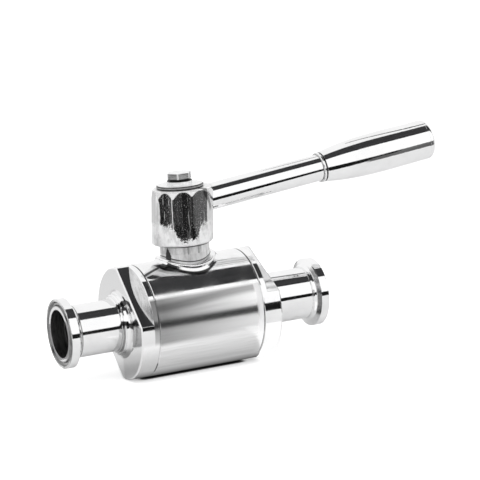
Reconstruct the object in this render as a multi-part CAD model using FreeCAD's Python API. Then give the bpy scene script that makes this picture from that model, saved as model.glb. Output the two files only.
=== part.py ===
"""Sanitary ball valve with clamp ferrules, a turned body and a lever handle.

Frame: the origin is the ball's centre, where the flow line (X) meets the stem line (Z).
+Z points up the stem and the handle lies along +X when the valve is open. Millimetres.
"""
import FreeCAD, Part
import math
import os

from FreeCAD import Vector

# Flow line, from the clamp face of one ferrule to that of the other.
FACE_TO_FACE = 204.0
BORE_D = 34.8
TUBE_D = 38.1

# Clamp ferrule: a flat rim with a gasket groove, a rear bevel and a short weld neck.
FERRULE_D = 50.5
FERRULE_RIM = 6.2
FERRULE_EDGE = 0.3
FERRULE_BEVEL_DEG = 20.0
FERRULE_BEVEL_D = 45.0
FERRULE_THROAT_MID_D = 41.6
FERRULE_THROAT_MID_AT = 8.0
FERRULE_THROAT_D = 39.8
FERRULE_THROAT_AT = 9.2
FERRULE_NECK_D = 38.8
FERRULE_LENGTH = 10.6
GASKET_GROOVE_D = 43.5
GASKET_GROOVE_WIDTH = 3.2
GASKET_GROOVE_FLOOR = 1.4
GASKET_GROOVE_DEPTH = 1.4

# Body: a turned drum that the two end caps screw into.
BODY_D = 82.0
BODY_LENGTH = 82.4
CAVITY_D = 61.0
SEAM_CHAMFER = 0.7

# End cap: a full-round rim, a pair of wrench flats and a flared collar of two beads.
CAP_RIM = 4.2
CAP_LENGTH = 14.4
CAP_FLATS = 62.0
CAP_SHOULDER_AT = 9.2
CAP_EDGE_CHAMFER = 1.0
CAP_FLAT_TILT_LEFT = 43.6
CAP_FLAT_TILT_RIGHT = 29.0
COLLAR_FLARE = 3.2
COLLAR_HOLLOW_DEG = (60.0, 30.0)
COLLAR_D = 44.0
COLLAR_LENGTH = 4.2
COLLAR_EDGE = 0.7
COLLAR_STEP_D = 40.4
COLLAR_STEP_LENGTH = 1.6
COLLAR_STEP_EDGE = 0.4
SEAT_POCKET_D = 48.0
SEAT_POCKET_DEPTH = 7.0

# Ball, seats and static seals.
BALL_D = 54.0
BALL_SEAT_GAP = 0.05
SEAT_NOSE_D = 42.0
SEAT_LENGTH = 10.0
BODY_SEAL_WIDTH = 2.5
BODY_SEAL_LENGTH = 2.6

# Stem: a tang in the ball's slot, a shoulder, a round shank and a drive square.
STEM_D = 16.0
STEM_FIT = 0.05
TANG_THICKNESS = 8.0
TANG_WIDTH = 17.0
TANG_BOTTOM = 20.6
SLOT_FIT = 0.1
SHOULDER_D = 22.0
SHOULDER_BOTTOM = 27.8
SHOULDER_HEIGHT = 3.5
SHOULDER_CLEARANCE = 0.15
THRUST_WASHER_HEIGHT = 1.5
SQUARE_AF = 14.0
SQUARE_TOP_GAP = 1.0

# Neck: a saddle pad on the drum, a foot on the pad and a ring on the foot, with the gland.
NECK_D = 36.1
NECK_FOOT_RISE = 1.8
NECK_TOP = 57.0
PAD_D = 44.0
PAD_RISE = 3.2
PAD_EDGE = 1.5
PAD_ROOT = 1.5
PACKING_BOX_D = 26.0
PACKING_BOX_BOTTOM = 38.0
PACKING_RING_HEIGHT = 2.5
PACKING_VEE = 0.8
PACKING_RINGS = ("lower", "middle", "upper")
FOLLOWER_HEIGHT = 4.0
GLAND_NUT_D = 28.0
GLAND_NUT_HEIGHT = 6.4
GLAND_SLOT = 3.0
GLAND_CLEARANCE = 0.3

# Stop pin in the neck's rim, which runs in a quarter-turn groove under the hub.
TRAVEL_DEG = 90.0
STOP_PIN_D = 3.0
STOP_PIN_CIRCLE_D = 32.2
STOP_PIN_DEPTH = 6.0
STOP_PIN_HEIGHT = 4.0
STOP_PIN_AT_DEG = 135.0
STOP_GAP = 0.3

# Handle hub: a drum that leans to the handle, with ground flats, a chamfered crown and a
# socket for the rod in a short boss.
HUB_D = 44.7
HUB_LEAN_DEG = 4.5
HUB_LEAN_FROM = 70.0
HUB_BOTTOM = 52.6
HUB_TOP = 92.3
HUB_FLATS = 10
HUB_FLATS_TURN_DEG = -5.5
HUB_FLATS_AF = 43.4
HUB_FLATS_BOTTOM = 66.0
HUB_FLATS_RUNOUT = 14.0
HUB_FLATS_CURVE = 70.0
HUB_CROWN_D = 43.3
HUB_CROWN_DEPTH = 3.6
HUB_LIP = 0.8
SKIRT_CLEARANCE = 0.4
RECESS_HEIGHT = 5.6
STOP_GROOVE_HEIGHT = 3.6

# Handle line: rod, ring and grip, rising slightly away from the hub.
HANDLE_Z = 79.87
HANDLE_RISE_DEG = 6.07
ROD_D = 19.8
SOCKET_START = 12.5
BOSS_START = 15.0
BOSS_START_D = 25.4
BOSS_END = 24.6
BOSS_END_D = 21.4
RING_START = 112.6
RING_WIDTH = 2.4
RING_D = 22.8
RING_BEVEL = 0.7
RING_GROOVE_WIDTH = 0.6
RING_GROOVE_D = 20.8
GRIP_END = 206.0
GRIP_FRONT_D = 22.4
GRIP_SHOULDER_AT = 14.0
GRIP_SHOULDER_D = 26.8
GRIP_BELLY_AT = 52.0
GRIP_BELLY_D = 30.5
GRIP_TAIL_D = 29.8
GRIP_INNER_D = 22.4
GRIP_BUSH = 24.0
GRIP_CAP = 3.6
GRIP_CAP_ROUND = 2.4
ROD_IN_GRIP = 22.0

# Hub fastening: a plate washer, a spring washer and a hexagon-head bolt.
PLATE_WASHER_D = 34.1
PLATE_WASHER_HEIGHT = 2.8
PLATE_WASHER_EDGE = 0.5
SPRING_WASHER_D = 18.1
SPRING_WASHER_HEIGHT = 2.6
SPRING_WASHER_SPLIT = 1.2
SPRING_WASHER_SPLIT_AT_DEG = 135.0
BOLT_D = 10.0
BOLT_HEAD_AF = 16.0
BOLT_HEAD_HEIGHT = 5.1
BOLT_CROWN_DROP = 0.5
BOLT_CROWN_WIDTH = 1.7
BOLT_FACE_D = 14.0
BOLT_FACE_HEIGHT = 1.0
BOLT_REACH = 18.0
BOLT_CLEARANCE = 0.25

# Sizes worked out from the ones above.
BORE_R = BORE_D / 2
BODY_R = BODY_D / 2
SEAM = BODY_LENGTH / 2
CAP_FACE = SEAM + CAP_LENGTH
COLLAR_END = CAP_FACE + COLLAR_LENGTH + COLLAR_STEP_LENGTH
TUBE_END = FACE_TO_FACE / 2 - FERRULE_LENGTH
SEAT_NOSE = math.sqrt((BALL_D / 2) ** 2 - (SEAT_NOSE_D / 2) ** 2)
SEAT_BACK = SEAT_NOSE + SEAT_LENGTH
CAP_INNER = SEAT_BACK - SEAT_POCKET_DEPTH
STEM_BORE_R = STEM_D / 2 + STEM_FIT
NECK_FOOT_TOP = BODY_R + PAD_RISE + NECK_FOOT_RISE
SHOULDER_TOP = SHOULDER_BOTTOM + SHOULDER_HEIGHT
WASHER_LEDGE = SHOULDER_TOP + STEM_FIT + THRUST_WASHER_HEIGHT
PACKING_TOP = PACKING_BOX_BOTTOM + len(PACKING_RINGS) * PACKING_RING_HEIGHT
FOLLOWER_TOP = PACKING_TOP + FOLLOWER_HEIGHT
RECESS_TOP = HUB_BOTTOM + RECESS_HEIGHT
RECESS_R = NECK_D / 2 + SKIRT_CLEARANCE
GRIP_START = RING_START + RING_WIDTH + RING_GROOVE_WIDTH
PLATE_TOP = HUB_TOP + PLATE_WASHER_HEIGHT
SPRING_TOP = PLATE_TOP + SPRING_WASHER_HEIGHT

# Overlap of a cutter past the face that it cuts, and how near an edge's size is matched.
OVER = 1.0
PICK = 0.5


def arc_to(centre, end):
    """Outline step: a round stretch about a centre to an end point."""
    return (centre, end)


def closed_wire(start, steps):
    """Close an outline of (along, radius) points and arc_to steps."""
    edges = []
    here = Vector(start[0], 0, start[1])
    for step in list(steps) + [start]:
        if isinstance(step[0], tuple):
            centre = Vector(step[0][0], 0, step[0][1])
            there = Vector(step[1][0], 0, step[1][1])
            outward = ((here + there) / 2 - centre).normalize()
            middle = centre + outward * (here - centre).Length
            edges.append(Part.Arc(here, middle, there).toShape())
        else:
            there = Vector(step[0], 0, step[1])
            edges.append(Part.LineSegment(here, there).toShape())
        here = there
    return Part.Wire(edges)


def turned(start, *steps):
    """Turn an outline of (along, radius) points about the X axis."""
    face = Part.Face(closed_wire(start, steps))
    return Part.Solid(face.revolve(Vector(0, 0, 0), Vector(1, 0, 0), 360))


def upright(shape):
    """Stand a shape turned about X on the stem line, its +X end up."""
    return shape.rotated(Vector(0, 0, 0), Vector(0, 1, 0), -90)


def on_handle(shape):
    """Lay a shape turned about X on the handle line."""
    raised = shape.rotated(Vector(0, 0, 0), Vector(0, 1, 0), -HANDLE_RISE_DEG)
    return raised.translated(Vector(0, 0, HANDLE_Z))


def mirrored(shape):
    """Mirror a right-hand piece to the left end of the flow line."""
    return shape.mirror(Vector(0, 0, 0), Vector(1, 0, 0))


def rod(diameter, low, high):
    """Make a plain round bar along X between two stations."""
    return Part.makeCylinder(diameter / 2, high - low, Vector(low, 0, 0), Vector(1, 0, 0))


def post(diameter, low, high):
    """Make a plain round bar along Z between two heights."""
    return Part.makeCylinder(diameter / 2, high - low, Vector(0, 0, low))


def block(size_x, size_y, low, high):
    """Make a square-cornered bar centred on the stem line between two heights."""
    return Part.makeBox(size_x, size_y, high - low, Vector(-size_x / 2, -size_y / 2, low))


def ferrule():
    """Right-hand clamp ferrule: rim, gasket groove, bevel, throat and short weld neck."""
    face = FACE_TO_FACE / 2
    rim_r = FERRULE_D / 2
    bevel_r = FERRULE_BEVEL_D / 2
    bevel = FERRULE_RIM + (rim_r - bevel_r) * math.tan(math.radians(FERRULE_BEVEL_DEG))
    edge = FERRULE_EDGE
    groove_r = GASKET_GROOVE_D / 2
    half = GASKET_GROOVE_WIDTH / 2
    floor_half = GASKET_GROOVE_FLOOR / 2
    groove_at = face - GASKET_GROOVE_DEPTH
    return turned(
        (face - FERRULE_LENGTH, BORE_R),
        (face - FERRULE_LENGTH, FERRULE_NECK_D / 2),
        (face - FERRULE_THROAT_AT, FERRULE_THROAT_D / 2),
        (face - FERRULE_THROAT_MID_AT, FERRULE_THROAT_MID_D / 2),
        (face - bevel, bevel_r),
        (face - FERRULE_RIM, rim_r),
        (face - edge, rim_r),
        (face, rim_r - edge),
        (face, groove_r + half),
        (groove_at, groove_r + floor_half),
        (groove_at, groove_r - floor_half),
        (face, groove_r - half),
        (face, BORE_R),
    )


def stub_tube():
    """Right-hand length of tube between the cap's collar and the ferrule's neck."""
    return rod(TUBE_D, COLLAR_END, TUBE_END).cut(rod(BORE_D, COLLAR_END - OVER, TUBE_END + OVER))


def cap_head(tilt):
    """Right-hand cap head: two flats on the drum, run out behind by a conical shoulder."""
    full = Part.makeCylinder(BODY_R, CAP_LENGTH, Vector(SEAM, 0, 0), Vector(1, 0, 0))
    slab = Part.makeBox(CAP_LENGTH, 4 * BODY_R, CAP_FLATS, Vector(SEAM, -2 * BODY_R, -CAP_FLATS / 2))
    head = full.common(slab.rotated(Vector(0, 0, 0), Vector(1, 0, 0), tilt))
    outer = [e for e in head.Edges if all(abs(v.X - CAP_FACE) < 1e-6 for v in e.Vertexes)]
    head = head.makeChamfer(CAP_EDGE_CHAMFER, outer)
    shoulder = turned(
        (SEAM, 0),
        (SEAM, BODY_R - SEAM_CHAMFER),
        (SEAM + SEAM_CHAMFER, BODY_R),
        (SEAM + CAP_RIM, BODY_R),
        (SEAM + CAP_SHOULDER_AT, CAP_FLATS / 2),
        (SEAM + CAP_SHOULDER_AT, 0),
    )
    head = head.cut(rod(BODY_D + OVER, SEAM - OVER, SEAM + CAP_RIM / 2))
    return head.fuse(shoulder).removeSplitter()


def cap_collar():
    """Collar that carries the tube: a hollow flare on the cap's face and two bevelled beads."""
    collar_r = COLLAR_D / 2
    step_r = COLLAR_STEP_D / 2
    flare = COLLAR_FLARE
    hollow = [flare * (1 - math.sin(math.radians(angle))) for angle in COLLAR_HOLLOW_DEG]
    edge = COLLAR_EDGE
    step_edge = COLLAR_STEP_EDGE
    step_at = CAP_FACE + COLLAR_LENGTH
    return turned(
        (CAP_FACE - CAP_RIM, 0),
        (CAP_FACE - CAP_RIM, collar_r + flare),
        (CAP_FACE, collar_r + flare),
        (CAP_FACE + hollow[0], collar_r + hollow[1]),
        (CAP_FACE + hollow[1], collar_r + hollow[0]),
        (CAP_FACE + flare, collar_r),
        (step_at - edge, collar_r),
        (step_at, collar_r - edge),
        (step_at, step_r),
        (COLLAR_END - step_edge, step_r),
        (COLLAR_END, step_r - step_edge),
        (COLLAR_END, 0),
    )


def end_cap(tilt):
    """Right-hand end cap: head, collar and the spigot that screws into the body."""
    spigot = turned(
        (CAP_INNER, 0),
        (CAP_INNER, CAVITY_D / 2 - OVER),
        (CAP_INNER + OVER, CAVITY_D / 2),
        (SEAM + OVER, CAVITY_D / 2),
        (SEAM + OVER, 0),
    )
    cap = cap_head(tilt).fuse([cap_collar(), spigot]).removeSplitter()
    cap = cap.cut(rod(BORE_D, CAP_INNER - OVER, COLLAR_END + OVER))
    return cap.cut(rod(SEAT_POCKET_D, CAP_INNER - OVER, SEAT_BACK))


def ball_seat():
    """Right-hand seat ring: a pocket fit outside and a spherical face on the ball."""
    ring = rod(SEAT_POCKET_D, SEAT_NOSE, SEAT_BACK).cut(rod(BORE_D, 0, SEAT_BACK + OVER))
    return ring.cut(Part.makeSphere(BALL_D / 2 + BALL_SEAT_GAP))


def body_seal():
    """Right-hand seal ring, held between the body's counterbore and the cap's rim."""
    low = SEAM - BODY_SEAL_LENGTH
    ring = rod(CAVITY_D + 2 * BODY_SEAL_WIDTH, low, SEAM)
    return ring.cut(rod(CAVITY_D, low - OVER, SEAM + OVER))


def saddle_edges(shape, diameter, radius):
    """Edges where a post on the stem line meets a round bar on the flow line."""
    found = []
    for edge in shape.Edges:
        points = edge.discretize(9)
        on_post = all(abs(math.hypot(p.x, p.y) - diameter / 2) < PICK / 10 for p in points)
        on_bar = all(abs(math.hypot(p.y, p.z) - radius) < PICK / 10 for p in points)
        if on_post and on_bar and points[0].z > 0:
            found.append(edge)
    return found


def saddle_pad(drum):
    """Drum with the raised pad of the neck, rounded above and blended in below."""
    top_r = BODY_R + PAD_RISE
    pad = post(PAD_D, 0, NECK_TOP).common(rod(2 * top_r, -SEAM, SEAM))
    padded = drum.fuse(pad).removeSplitter()
    padded = padded.makeFillet(PAD_EDGE, saddle_edges(padded, PAD_D, top_r))
    return padded.makeChamfer(PAD_ROOT, saddle_edges(padded, PAD_D, BODY_R))


def stem_line_bores():
    """Cutters for all that passes through the drum and the neck along the stem line."""
    cutters = [
        post(SHOULDER_D + 2 * SHOULDER_CLEARANCE, 0, WASHER_LEDGE),
        post(2 * STEM_BORE_R, 0, NECK_TOP),
        post(PACKING_BOX_D, PACKING_BOX_BOTTOM, NECK_TOP),
        post(GLAND_NUT_D, FOLLOWER_TOP, NECK_TOP + OVER),
    ]
    return cutters


def valve_body():
    """Drum with the pad and foot of the neck, bored for the caps, the ball and the stem."""
    drum = turned(
        (-SEAM, 0),
        (-SEAM, BODY_R - SEAM_CHAMFER),
        (SEAM_CHAMFER - SEAM, BODY_R),
        (SEAM - SEAM_CHAMFER, BODY_R),
        (SEAM, BODY_R - SEAM_CHAMFER),
        (SEAM, 0),
    )
    body = saddle_pad(drum).fuse(post(NECK_D, 0, NECK_FOOT_TOP)).removeSplitter()
    body = body.cut(rod(CAVITY_D, -SEAM - OVER, SEAM + OVER))
    seal_d = CAVITY_D + 2 * BODY_SEAL_WIDTH
    body = body.cut(rod(seal_d, SEAM - BODY_SEAL_LENGTH, SEAM + OVER))
    body = body.cut(rod(seal_d, -SEAM - OVER, BODY_SEAL_LENGTH - SEAM))
    return body.cut(stem_line_bores())


def stem_neck():
    """Ring welded flush on the neck's foot, bored in line with it, with the stop pin's hole."""
    ring = post(NECK_D, NECK_FOOT_TOP, NECK_TOP)
    return ring.cut(stem_line_bores() + [stop_pin()])


def ball():
    """Ball with the flow bore and a crosswise slot for the stem's tang."""
    slot_width = TANG_THICKNESS + 2 * SLOT_FIT
    slot = block(slot_width, BALL_D, TANG_BOTTOM - 2 * SLOT_FIT, BALL_D)
    return Part.makeSphere(BALL_D / 2).cut(rod(BORE_D, -BALL_D, BALL_D)).cut(slot)


def drive_square(af, low, high, across):
    """Square with its corners turned off to a round."""
    return block(af, af, low, high).common(post(across, low, high))


def stem():
    """Stem with tang, shoulder, shank and drive square, tapped for the hub bolt."""
    top = HUB_TOP - SQUARE_TOP_GAP
    tang = block(TANG_THICKNESS, TANG_WIDTH, TANG_BOTTOM, SHOULDER_BOTTOM)
    body = tang.fuse([
        post(SHOULDER_D, SHOULDER_BOTTOM, SHOULDER_TOP),
        post(STEM_D, SHOULDER_TOP, RECESS_TOP),
        drive_square(SQUARE_AF, RECESS_TOP, top, STEM_D),
    ]).removeSplitter()
    return body.cut(post(BOLT_D, HUB_TOP - BOLT_REACH - OVER, top + OVER))


def thrust_washer():
    """Washer between the stem's shoulder and the ledge above it."""
    low = WASHER_LEDGE - THRUST_WASHER_HEIGHT
    outer = post(SHOULDER_D, low, WASHER_LEDGE)
    return outer.cut(post(2 * STEM_BORE_R, low - OVER, WASHER_LEDGE + OVER))


def packing_ring(index):
    """One packing ring of the stack, flat below the first and vee-shaped between rings."""
    low = PACKING_BOX_BOTTOM + index * PACKING_RING_HEIGHT
    high = low + PACKING_RING_HEIGHT
    mid_r = (STEM_BORE_R + PACKING_BOX_D / 2) / 2
    dip = 0 if index == 0 else PACKING_VEE
    rise = 0 if index == len(PACKING_RINGS) - 1 else PACKING_VEE
    return upright(turned(
        (low, STEM_BORE_R),
        (low + dip, mid_r),
        (low, PACKING_BOX_D / 2),
        (high, PACKING_BOX_D / 2),
        (high + rise, mid_r),
        (high, STEM_BORE_R),
    ))


def gland_follower():
    """Plain ring that presses on the packing."""
    outer = post(PACKING_BOX_D, PACKING_TOP, FOLLOWER_TOP)
    hole = post(STEM_D + 2 * GLAND_CLEARANCE, PACKING_TOP - OVER, FOLLOWER_TOP + OVER)
    return outer.cut(hole)


def gland_nut():
    """Ring nut in the neck, with a crossed pair of spanner slots."""
    top = FOLLOWER_TOP + GLAND_NUT_HEIGHT
    nut = post(GLAND_NUT_D, FOLLOWER_TOP, top)
    nut = nut.cut(post(STEM_D + 2 * GLAND_CLEARANCE, FOLLOWER_TOP - OVER, top + OVER))
    nut = nut.cut(block(GLAND_SLOT, GLAND_NUT_D + OVER, top - GLAND_SLOT, top + OVER))
    return nut.cut(block(GLAND_NUT_D + OVER, GLAND_SLOT, top - GLAND_SLOT, top + OVER))


def stop_pin():
    """Pin pressed into the neck's rim, standing up into the hub's groove."""
    angle = math.radians(STOP_PIN_AT_DEG)
    radius = STOP_PIN_CIRCLE_D / 2
    pin = post(STOP_PIN_D, NECK_TOP - STOP_PIN_DEPTH, NECK_TOP + STOP_PIN_HEIGHT)
    return pin.translated(Vector(radius * math.cos(angle), radius * math.sin(angle), 0))


def stop_groove():
    """Quarter-turn groove for the stop pin, as a cutter in the hub."""
    pin_circle_r = STOP_PIN_CIRCLE_D / 2
    inner_r = pin_circle_r - STOP_PIN_D / 2 - STOP_GAP
    play = math.degrees((STOP_PIN_D / 2 + STOP_GAP) / pin_circle_r)
    start = STOP_PIN_AT_DEG - play
    sweep = TRAVEL_DEG + 2 * play
    height = OVER + STOP_GROOVE_HEIGHT
    low = Vector(0, 0, RECESS_TOP - OVER)
    ring = Part.makeCylinder(RECESS_R, height, low, Vector(0, 0, 1), sweep)
    core = Part.makeCylinder(inner_r, height, low, Vector(0, 0, 1), sweep)
    return ring.cut(core).rotated(Vector(0, 0, 0), Vector(0, 0, 1), start)


def leaning(shape):
    """Lean a shape on the stem line towards the handle, as the hub's outside does."""
    return shape.rotated(Vector(0, 0, HUB_LEAN_FROM), Vector(0, 1, 0), HUB_LEAN_DEG)


def beside_stem(shape, height):
    """Shift a shape from the stem line to the leaning line of the hub at a height."""
    offset = (height - HUB_LEAN_FROM) * math.tan(math.radians(HUB_LEAN_DEG))
    return shape.translated(Vector(offset, 0, 0))


def hub_flat_cutter():
    """Cutter of one ground flat on the +X side, barely crowned and run out above the skirt."""
    flat_x = HUB_FLATS_AF / 2
    near = flat_x - OVER
    far = HUB_D
    width = HUB_D / 2
    top = HUB_TOP + 4 * OVER
    corners = [
        Vector(near, -width, HUB_FLATS_BOTTOM + HUB_FLATS_RUNOUT * OVER),
        Vector(far, -width, HUB_FLATS_BOTTOM - HUB_FLATS_RUNOUT * (far - flat_x)),
        Vector(far, -width, top),
        Vector(near, -width, top),
    ]
    side = Part.Face(Part.makePolygon(corners + corners[:1]))
    kept = post(2 * HUB_FLATS_CURVE, 0, top + OVER)
    kept = kept.translated(Vector(flat_x - HUB_FLATS_CURVE, 0, 0))
    return side.extrude(Vector(0, 2 * width, 0)).cut(kept)


def hub_outside():
    """Leaning drum of the hub with its flats, its lip below and its crown."""
    r = HUB_D / 2
    hub = leaning(post(HUB_D, HUB_BOTTOM - 3 * OVER, HUB_TOP + 3 * OVER))
    flat = hub_flat_cutter()
    for index in range(HUB_FLATS):
        at = index * 360 / HUB_FLATS + HUB_FLATS_TURN_DEG
        hub = hub.cut(leaning(flat.rotated(Vector(0, 0, 0), Vector(0, 0, 1), at)))
    lip = upright(turned(
        (HUB_BOTTOM, 0),
        (HUB_BOTTOM, r - HUB_LIP),
        (HUB_BOTTOM + HUB_LIP + OVER, r + OVER),
        (HUB_TOP + 4 * OVER, r + 6 * OVER),
        (HUB_TOP + 4 * OVER, 0),
    ))
    spread = (HUB_D - HUB_CROWN_D) / 2
    crown = upright(turned(
        (0, 0),
        (0, r + spread * (HUB_TOP - HUB_CROWN_DEPTH) / HUB_CROWN_DEPTH),
        (HUB_TOP - HUB_LIP / 2, HUB_CROWN_D / 2 + spread * HUB_LIP / 2 / HUB_CROWN_DEPTH),
        (HUB_TOP, HUB_CROWN_D / 2 - HUB_LIP),
        (HUB_TOP, 0),
    ))
    return hub.common(beside_stem(lip, HUB_BOTTOM)).common(beside_stem(crown, HUB_TOP))


def handle_hub():
    """Hub with ground flats, rod boss and socket, drive hole, recess and stop groove."""
    hub = hub_outside()
    boss = on_handle(turned(
        (BOSS_START, 0),
        (BOSS_START, BOSS_START_D / 2),
        (BOSS_END - HUB_LIP, BOSS_END_D / 2 + HUB_LIP / 8),
        (BOSS_END, BOSS_END_D / 2 - HUB_LIP),
        (BOSS_END, 0),
    ))
    hub = hub.fuse(boss.common(post(4 * HUB_D, HUB_BOTTOM, HUB_TOP - HUB_LIP / 2))).removeSplitter()
    hub = hub.cut(on_handle(rod(ROD_D, SOCKET_START, BOSS_END + OVER)))
    hub = hub.cut(post(2 * RECESS_R, HUB_BOTTOM - OVER, RECESS_TOP))
    hub = hub.cut(stop_groove())
    hole_af = SQUARE_AF + 2 * STEM_FIT
    return hub.cut(drive_square(hole_af, HUB_BOTTOM, HUB_TOP + OVER, STEM_D + 2 * STEM_FIT))


def handle_rod():
    """Round bar from the hub's socket into the grip's bush, chamfered at both ends."""
    end = GRIP_START + ROD_IN_GRIP
    r = ROD_D / 2
    return on_handle(turned(
        (SOCKET_START, 0),
        (SOCKET_START, r - OVER),
        (SOCKET_START + OVER, r),
        (end - OVER, r),
        (end, r - OVER),
        (end, 0),
    ))


def grip_ring():
    """Bevelled ring on the rod in front of the grip, with a narrow groove behind it."""
    bead_end = RING_START + RING_WIDTH
    groove_r = RING_GROOVE_D / 2
    return on_handle(turned(
        (RING_START, ROD_D / 2),
        (RING_START, groove_r),
        (RING_START + RING_BEVEL, RING_D / 2),
        (bead_end - RING_BEVEL, RING_D / 2),
        (bead_end, groove_r),
        (GRIP_START, groove_r),
        (GRIP_START, ROD_D / 2),
    ))


def grip_outline():
    """Outer outline of the grip: a quick flare, a long belly and a slight tail taper."""
    front_r = GRIP_FRONT_D / 2
    shoulder = (GRIP_START + GRIP_SHOULDER_AT, GRIP_SHOULDER_D / 2)
    belly = (GRIP_START + GRIP_BELLY_AT, GRIP_BELLY_D / 2)
    tail = (GRIP_END - GRIP_CAP, GRIP_TAIL_D / 2)
    points = [Vector(GRIP_START, 0, front_r)]
    points += [Vector(p[0], 0, p[1]) for p in (shoulder, belly, tail)]
    curve = Part.BSplineCurve()
    curve.interpolate(points)
    return curve.toShape()


def handle_grip():
    """Hollow turned grip: a thick bush at the front and an even wall behind it."""
    tail_at = GRIP_END - GRIP_CAP
    inner_r = GRIP_INNER_D / 2
    bush_end = GRIP_START + GRIP_BUSH
    corners = [
        Vector(tail_at, 0, GRIP_TAIL_D / 2),
        Vector(tail_at, 0, inner_r),
        Vector(bush_end, 0, inner_r),
        Vector(bush_end, 0, ROD_D / 2),
        Vector(GRIP_START, 0, ROD_D / 2),
        Vector(GRIP_START, 0, GRIP_FRONT_D / 2),
    ]
    inside = [Part.LineSegment(a, b).toShape() for a, b in zip(corners, corners[1:])]
    face = Part.Face(Part.Wire([grip_outline()] + inside))
    return on_handle(Part.Solid(face.revolve(Vector(0, 0, 0), Vector(1, 0, 0), 360)))


def grip_end_cap():
    """Disc that closes the grip, with a rounded outer edge."""
    r = GRIP_TAIL_D / 2
    low = GRIP_END - GRIP_CAP
    round_at = GRIP_END - GRIP_CAP_ROUND
    return on_handle(turned(
        (low, 0),
        (low, r),
        (round_at, r),
        arc_to((round_at, r - GRIP_CAP_ROUND), (GRIP_END, r - GRIP_CAP_ROUND)),
        (GRIP_END, 0),
    ))


def plate_washer():
    """Wide washer on the hub's crown, softened at its edges."""
    r = PLATE_WASHER_D / 2
    edge = PLATE_WASHER_EDGE
    hole_r = BOLT_D / 2 + BOLT_CLEARANCE
    return upright(turned(
        (HUB_TOP, hole_r),
        (HUB_TOP, r - edge),
        (HUB_TOP + edge, r),
        (PLATE_TOP - edge, r),
        (PLATE_TOP, r - edge),
        (PLATE_TOP, hole_r),
    ))


def spring_washer():
    """Split spring washer under the bolt's head."""
    ring = post(SPRING_WASHER_D, PLATE_TOP, SPRING_TOP)
    ring = ring.cut(post(BOLT_D + 2 * BOLT_CLEARANCE, PLATE_TOP - OVER, SPRING_TOP + OVER))
    split = Part.makeBox(SPRING_WASHER_D, SPRING_WASHER_SPLIT, SPRING_WASHER_HEIGHT + 2 * OVER)
    split = split.translated(Vector(0, -SPRING_WASHER_SPLIT / 2, PLATE_TOP - OVER))
    return ring.cut(split.rotated(Vector(0, 0, 0), Vector(0, 0, 1), SPRING_WASHER_SPLIT_AT_DEG))


def hub_bolt():
    """Hexagon-head bolt through both washers into the stem's end."""
    hex_low = SPRING_TOP + BOLT_FACE_HEIGHT
    hex_top = hex_low + BOLT_HEAD_HEIGHT
    corner_r = BOLT_HEAD_AF / math.sqrt(3)
    ring = [Vector(corner_r * math.cos(k * math.pi / 3), corner_r * math.sin(k * math.pi / 3), hex_low)
            for k in range(6)]
    prism = Part.Face(Part.makePolygon(ring + ring[:1])).extrude(Vector(0, 0, BOLT_HEAD_HEIGHT))
    crown = upright(turned(
        (hex_low, 0),
        (hex_low, corner_r),
        (hex_top - BOLT_CROWN_DROP, corner_r),
        (hex_top, corner_r - BOLT_CROWN_WIDTH),
        (hex_top, 0),
    ))
    head = prism.common(crown)
    face = post(BOLT_FACE_D, SPRING_TOP, hex_low)
    shank = post(BOLT_D, HUB_TOP - BOLT_REACH, hex_low)
    return head.fuse([face, shank]).removeSplitter()


def build():
    """Collect every piece under its node name."""
    pieces = {
        "valve_body": valve_body(),
        "stem_neck": stem_neck(),
        "end_cap_left": mirrored(end_cap(CAP_FLAT_TILT_LEFT)),
        "end_cap_right": end_cap(CAP_FLAT_TILT_RIGHT),
        "stub_tube_left": mirrored(stub_tube()),
        "stub_tube_right": stub_tube(),
        "ferrule_left": mirrored(ferrule()),
        "ferrule_right": ferrule(),
        "ball_seat_left": mirrored(ball_seat()),
        "ball_seat_right": ball_seat(),
        "body_seal_left": mirrored(body_seal()),
        "body_seal_right": body_seal(),
        "ball": ball(),
        "stem": stem(),
        "thrust_washer": thrust_washer(),
        "gland_follower": gland_follower(),
        "gland_nut": gland_nut(),
        "stop_pin": stop_pin(),
        "handle_hub": handle_hub(),
        "handle_rod": handle_rod(),
        "grip_ring": grip_ring(),
        "handle_grip": handle_grip(),
        "grip_end_cap": grip_end_cap(),
        "plate_washer": plate_washer(),
        "spring_washer": spring_washer(),
        "hub_bolt": hub_bolt(),
    }
    for index, name in enumerate(PACKING_RINGS):
        pieces["packing_ring_" + name] = packing_ring(index)
    return pieces


os.makedirs("parts", exist_ok=True)
for name, shape in build().items():
    shape.exportStep(os.path.join("parts", name + ".step"))
    print(name, len(shape.Solids), round(shape.Volume, 1), shape.isValid())
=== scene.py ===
"""Looks of a sanitary ball valve: camera, studio, finishes and the small details of each piece.

Lengths are in metres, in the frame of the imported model: the flow line is X, the stem line is Z.
A pair named for an edge, start, end, top, bottom or side is soft: where it begins and where it
is complete. Further numbers beside such a pair are the values at its two ends.
"""
import math

import bpy
from mathutils import Matrix, Vector

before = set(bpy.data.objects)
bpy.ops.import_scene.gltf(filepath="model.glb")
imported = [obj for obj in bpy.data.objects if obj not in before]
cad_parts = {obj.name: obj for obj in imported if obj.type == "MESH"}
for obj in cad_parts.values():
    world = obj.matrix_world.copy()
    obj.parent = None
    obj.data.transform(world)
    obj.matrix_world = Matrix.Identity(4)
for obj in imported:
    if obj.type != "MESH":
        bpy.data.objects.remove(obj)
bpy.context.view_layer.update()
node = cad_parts
scene = bpy.context.scene
scene.view_settings.view_transform = "Standard"

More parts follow.
